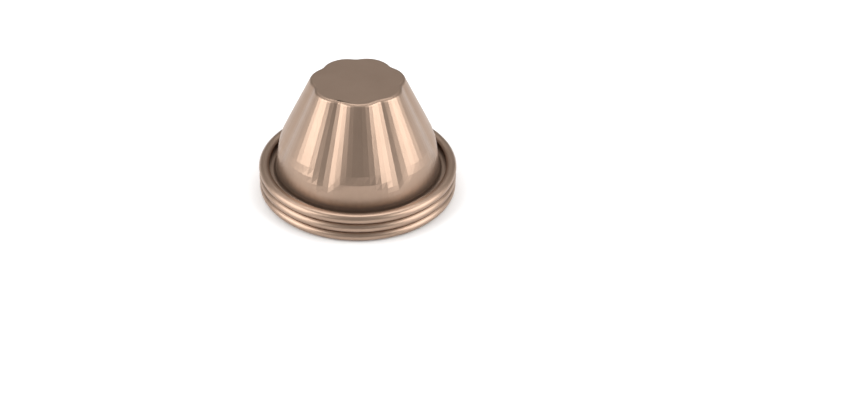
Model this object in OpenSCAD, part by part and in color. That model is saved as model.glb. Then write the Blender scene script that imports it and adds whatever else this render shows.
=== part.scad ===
// Stack of fluted brioche moulds, nested upside down, each one pressed sheet with a rolled rim.
// Millimetres, +Z up. The origin is at the middle of the underside of the lowest rim.

/* [Stack] */
// Height that each nested mould adds to the stack
stack_pitch = 4.2; // [4.1:0.1:6]
// Air gap between the rolled rims of two stacked moulds
rim_gap = 0.1; // [0.05:0.05:0.3]

/* [Mould] */
// Height of one mould
mould_h = 42.8; // [38:0.2:60]
// Thickness of the pressed sheet
sheet_t = 0.4; // [0.3:0.05:0.45]
// Radius at the lobe peaks, where the wall would meet the flat base
base_r = 19.6; // [17:0.1:21]
// Widening of the wall for each millimetre down from the base
wall_slope = 0.48; // [0.45:0.01:0.6]
// Radius of the rounded edge between wall and base
base_edge_r = 1.6; // [1:0.1:2.5]

/* [Lobes] */
// Number of lobes round the wall
lobes = 7; // [5:1:9]
// Depth of the creases at the base
crease_top = 1.9; // [1:0.1:2.5]
// Depth of the creases at the rim, if they ran that far
crease_foot = 2.9; // [1.5:0.1:3.5]
// Angle over which a crease is rounded
crease_soft = 2.5; // [1:0.5:4]
// Angle of the first lobe from the front
lobe_turn = 2.2; // [0:0.1:20]

/* [Collar] */
// Diameter of the round collar at its foot
collar_d = 69.5; // [66:0.5:70]
// Narrowing of the collar's radius for each millimetre up
collar_slope = 0.135; // [0.13:0.005:0.18]
// Softness of the line where lobes run into the collar
collar_soft = 0.3; // [0.1:0.1:0.6]
// Height over which the creases fade out above the collar's foot
fade_h = 3; // [2:0.5:5]

/* [Rim] */
// Outer diameter of the rolled rim
rim_d = 84; // [82:0.5:90]
// Width of the rolled rim
bead_w = 4.6; // [4:0.1:5]
// Angle through which the rim's edge is rolled
roll_turn = 250; // [180:10:270]
// Radius of the hollow between collar and flange
flange_r = 1.4; // [1:0.1:1.6]

/* [Hidden] */
bead_h = stack_pitch - rim_gap;
// The wall stands in the foot of the rim, which is a little thicker on each side.
seat_step = 0.04;
wall_end = flange_r + sheet_t + 0.3;
foot_top = wall_end + 0.6;
steps = 12 * lobes;
half = 180 / lobes;
coat = "#a8917d";
wall_zs = [wall_end, foot_top, foot_top + 1.2, foot_top + 2.6, foot_top + 4.2, foot_top + 6,
           foot_top + 8, foot_top + 10.5, foot_top + 14, foot_top + 22, mould_h - 8];
edge_lean = atan(wall_slope);
edge_angles = [edge_lean, 45, 68, 90];
roll_step = 15;

function collar_at(z) = collar_d / 2 - collar_slope * (z - foot_top);
function smooth_min(a, b) = (a + b) / 2 - sqrt((a - b) * (a - b) / 4 + collar_soft * collar_soft);
function ease(x) = let (q = max(0, min(1, x))) q * q * (3 - 2 * q);

// Angle from the nearest lobe's middle, softened at the crease
function lobe_angle(az) =
    let (d = az - lobe_turn, k = round(d / (2 * half)), off = abs(d - 2 * half * k))
    half - sqrt(pow(half - off, 2) + crease_soft * crease_soft);

// Radius of the lobes alone: each is an arc between two creases
function lobe_at(az, z) =
    let (peak = base_r + wall_slope * (mould_h - z),
         depth = crease_top + (crease_foot - crease_top) * (mould_h - z) / mould_h,
         valley = peak - depth,
         chord = valley * sin(half),
         rise = peak - valley * cos(half),
         arc = (chord * chord + rise * rise) / (2 * rise),
         mid = peak - arc,
         a = lobe_angle(az))
    mid * cos(a) + sqrt(arc * arc - pow(mid * sin(a), 2));

// Outer radius of the wall
function wall_at(az, z) =
    let (c = collar_at(z))
    c - (c - smooth_min(lobe_at(az, z), c)) * ease((z - foot_top) / fade_h);

function turned(az, v) = [v[0] * sin(az) + v[1] * cos(az), v[1] * sin(az) - v[0] * cos(az), v[2]];
function unit(v) = v / norm(v);

// Sideways lean of the surface at this angle and height
function side_lean(az, z) = -(wall_at(az + 0.5, z) - wall_at(az - 0.5, z)) / (wall_at(az, z) * PI / 180);
function up_lean(az, z) = -(wall_at(az, z + 0.05) - wall_at(az, z - 0.05)) / 0.1;

function wall_point(az, z, deep) =
    turned(az, [wall_at(az, z), 0, z] - deep * unit([1, side_lean(az, z), up_lean(az, z)]));

function edge_point(az, a, deep) =
    let (mid = wall_at(az, mould_h) + wall_slope * base_edge_r
               - base_edge_r * sqrt(1 + wall_slope * wall_slope),
         n = unit([cos(a), side_lean(az, mould_h) * cos(a), sin(a)]))
    turned(az, [mid + base_edge_r * cos(a), 0, mould_h - base_edge_r + base_edge_r * sin(a)] - deep * n);

function skin(deep) = concat(
    [for (z = wall_zs) for (i = [0 : steps - 1]) wall_point(i * 360 / steps, z, deep)],
    [for (a = edge_angles) for (i = [0 : steps - 1]) edge_point(i * 360 / steps, a, deep)]);

// The pressed cup: outer skin, inner skin one sheet thickness behind it, and the edge between them
module cup() {
    rows = len(wall_zs) + len(edge_angles);
    count = rows * steps;
    faces = concat(
        [for (j = [0 : rows - 2]) for (i = [0 : steps - 1])
            let (a = j * steps + i, b = j * steps + (i + 1) % steps) each
            [[a, a + steps, b + steps], [a, b + steps, b],
             [count + a, count + b + steps, count + a + steps], [count + a, count + b, count + b + steps]]],
        [[for (i = [steps - 1 : -1 : 0]) count - steps + i],
         [for (i = [0 : steps - 1]) 2 * count - steps + i]],
        [for (i = [0 : steps - 1])
            let (n = (i + 1) % steps) each [[i, n, count + n], [i, count + n, count + i]]]);
    polyhedron(concat(skin(0), skin(sheet_t)), faces, convexity = 6);
}

// The rim: foot of the collar, flange and rolled edge, turned round the axis
module rim() {
    lean = atan(collar_slope);
    hollow = [collar_at(sheet_t + flange_r) + flange_r / cos(lean), sheet_t + flange_r];
    wall_w = sheet_t / cos(lean);
    bead_mid = [rim_d / 2 - bead_w / 2, bead_h / 2];
    function arc(r) = [for (k = [0 : 6]) let (a = 180 + lean + (90 - lean) * k / 6) hollow + r * [cos(a), sin(a)]];
    function roll(deep) = [for (a = [-90 : roll_step : roll_turn - 90])
        bead_mid + [(bead_w / 2 - deep) * cos(a), (bead_h / 2 - deep) * sin(a)]];
    under = concat(arc(flange_r + sheet_t), roll(0));
    over = concat(arc(flange_r), roll(sheet_t));
    foot_z = [foot_top, wall_end - 0.1];
    inner_foot = [for (z = foot_z) [collar_at(z) - wall_w - seat_step, z]];
    outer_foot = [for (z = foot_z) [collar_at(z) + seat_step, z]];
    rotate_extrude($fn = 96)
        polygon(concat(inner_foot, under, [for (i = [len(over) - 1 : -1 : 0]) over[i]],
                       [outer_foot[1], outer_foot[0]]));
}

module mould(level) {
    color(coat)
    translate([0, 0, level * stack_pitch]) {
        cup();
        rim();
    }
}

module bottom_mould() {
    mould(0);
}

module middle_mould() {
    mould(1);
}

module top_mould() {
    mould(2);
}

bottom_mould();
middle_mould();
top_mould();
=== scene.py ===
"""Stack of brioche moulds: finish of the coated sheet, floor, lights and camera."""
import math
import bpy
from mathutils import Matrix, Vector

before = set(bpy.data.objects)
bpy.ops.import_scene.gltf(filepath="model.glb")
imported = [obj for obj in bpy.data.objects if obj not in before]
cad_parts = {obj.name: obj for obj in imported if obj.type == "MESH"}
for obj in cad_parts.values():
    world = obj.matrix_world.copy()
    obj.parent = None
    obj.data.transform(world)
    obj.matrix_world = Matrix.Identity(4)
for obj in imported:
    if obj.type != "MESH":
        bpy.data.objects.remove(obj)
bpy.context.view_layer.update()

MM = 0.001

# Coat colours, linear
COAT = (0.40, 0.285, 0.215, 1.0)
COAT_DARK = (0.33, 0.23, 0.17, 1.0)
COAT_ROUGHNESS = 0.34

# Camera, fitted to the photograph
CAMERA_DISTANCE = 550 * MM
CAMERA_ELEVATION = math.radians(32.95)
TARGET_HEIGHT = 25 * MM
PICTURE_WIDTH = 854.0
PICTURE_HEIGHT = 410.0
FOCAL_PIXELS = 1308.7
TARGET_PIXEL = (357.75, 134.3)
SENSOR = 36.0


def coat_material(name):
    """Satin metallic non-stick coat: fine grain, slight mottle."""
    mat = bpy.data.materials.new(name)
    mat.use_nodes = True
    nodes = mat.node_tree.nodes
    links = mat.node_tree.links
    shader = nodes["Principled BSDF"]
    shader.inputs["Metallic"].default_value = 0.85
    coords = nodes.new("ShaderNodeTexCoord")
    grain = nodes.new("ShaderNodeTexNoise")
    grain.inputs["Scale"].default_value = 2600.0
    grain.inputs["Detail"].default_value = 3.0
    mottle = nodes.new("ShaderNodeTexNoise")
    mottle.inputs["Scale"].default_value = 90.0
    mottle.inputs["Detail"].default_value = 4.0
    colour = nodes.new("ShaderNodeMix")
    colour.data_type = "RGBA"
    colour.inputs["A"].default_value = COAT_DARK
    colour.inputs["B"].default_value = COAT
    rough = nodes.new("ShaderNodeMapRange")
    rough.inputs["To Min"].default_value = COAT_ROUGHNESS - 0.06
    rough.inputs["To Max"].default_value = COAT_ROUGHNESS + 0.08
    bump = nodes.new("ShaderNodeBump")
    bump.inputs["Strength"].default_value = 0.12
    bump.inputs["Distance"].default_value = 0.04 * MM
    for noise in (grain, mottle):
        links.new(coords.outputs["Object"], noise.inputs["Vector"])
    links.new(mottle.outputs["Fac"], colour.inputs["Factor"])
    links.new(colour.outputs["Result"], shader.inputs["Base Color"])
    links.new(grain.outputs["Fac"], rough.inputs["Value"])
    links.new(rough.outputs["Result"], shader.inputs["Roughness"])
    links.new(grain.outputs["Fac"], bump.inputs["Height"])
    links.new(bump.outputs["Normal"], shader.inputs["Normal"])
    return mat


def dress_moulds():
    """Gives each packed mould its coat; the shapes stay as they are."""
    for node in ("bottom_mould", "middle_mould", "top_mould"):
        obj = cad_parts[node]
        coat = coat_material(node + "_coat")
        obj.data.materials.clear()
        obj.data.materials.append(coat)


def floor():
    """Plain pale floor that keeps the shadow."""
    size = 1.5
    mesh = bpy.data.meshes.new("floor")
    corners = [(-size, -size, 0), (size, -size, 0), (size, size, 0), (-size, size, 0)]
    mesh.from_pydata(corners, [], [(0, 1, 2, 3)])
    obj = bpy.data.objects.new("floor", mesh)
    bpy.context.scene.collection.objects.link(obj)
    mat = bpy.data.materials.new("floor")
    mat.use_nodes = True
    shader = mat.node_tree.nodes["Principled BSDF"]
    shader.inputs["Base Color"].default_value = (0.9, 0.9, 0.9, 1)
    shader.inputs["Roughness"].default_value = 0.8
    mesh.materials.append(mat)


def area_lamp(name, place, size, power):
    """Soft lamp that points at the stack."""
    data = bpy.data.lights.new(name, "AREA")
    data.shape = "RECTANGLE"
    data.size, data.size_y = size
    data.energy = power
    obj = bpy.data.objects.new(name, data)
    obj.location = place
    aim = Vector((0, 0, TARGET_HEIGHT)) - Vector(place)
    obj.rotation_euler = aim.to_track_quat("-Z", "Y").to_euler()
    bpy.context.scene.collection.objects.link(obj)


def lights():
    """Soft boxes left, right and overhead; the front stays dim."""
    area_lamp("left_box", (-0.8, -0.25, 0.45), (0.8, 0.9), 9.0)
    area_lamp("right_box", (0.8, -0.25, 0.45), (0.8, 0.9), 9.0)
    area_lamp("top_box", (0.0, 0.3, 1.0), (0.9, 0.7), 6.0)
    world = bpy.data.worlds.new("studio")
    bpy.context.scene.world = world
    world.use_nodes = True
    nodes = world.node_tree.nodes
    links = world.node_tree.links
    back = nodes["Background"]
    path = nodes.new("ShaderNodeLightPath")
    plain = nodes.new("ShaderNodeBackground")
    plain.inputs["Color"].default_value = (1, 1, 1, 1)
    plain.inputs["Strength"].default_value = 1.0
    back.inputs["Color"].default_value = (0.5, 0.5, 0.5, 1)
    back.inputs["Strength"].default_value = 0.6
    mix = nodes.new("ShaderNodeMixShader")
    links.new(path.outputs["Is Camera Ray"], mix.inputs["Fac"])
    links.new(back.outputs["Background"], mix.inputs[1])
    links.new(plain.outputs["Background"], mix.inputs[2])
    links.new(mix.outputs["Shader"], nodes["World Output"].inputs["Surface"])


def camera():
    """Camera at the photograph's angle, shifted to its framing."""
    data = bpy.data.cameras.new("camera")
    data.sensor_width = SENSOR
    data.lens = FOCAL_PIXELS * SENSOR / PICTURE_WIDTH
    data.shift_x = (PICTURE_WIDTH / 2 - TARGET_PIXEL[0]) / PICTURE_WIDTH
    data.shift_y = (TARGET_PIXEL[1] - PICTURE_HEIGHT / 2) / PICTURE_WIDTH
    obj = bpy.data.objects.new("camera", data)
    ground = CAMERA_DISTANCE * math.cos(CAMERA_ELEVATION)
    rise = CAMERA_DISTANCE * math.sin(CAMERA_ELEVATION)
    obj.location = (0, -ground, TARGET_HEIGHT + rise)
    obj.rotation_euler = (math.pi / 2 - CAMERA_ELEVATION, 0, 0)
    bpy.context.scene.collection.objects.link(obj)
    bpy.context.scene.camera = obj


bpy.context.scene.view_settings.view_transform = "Standard"
camera()
dress_moulds()
floor()
lights()
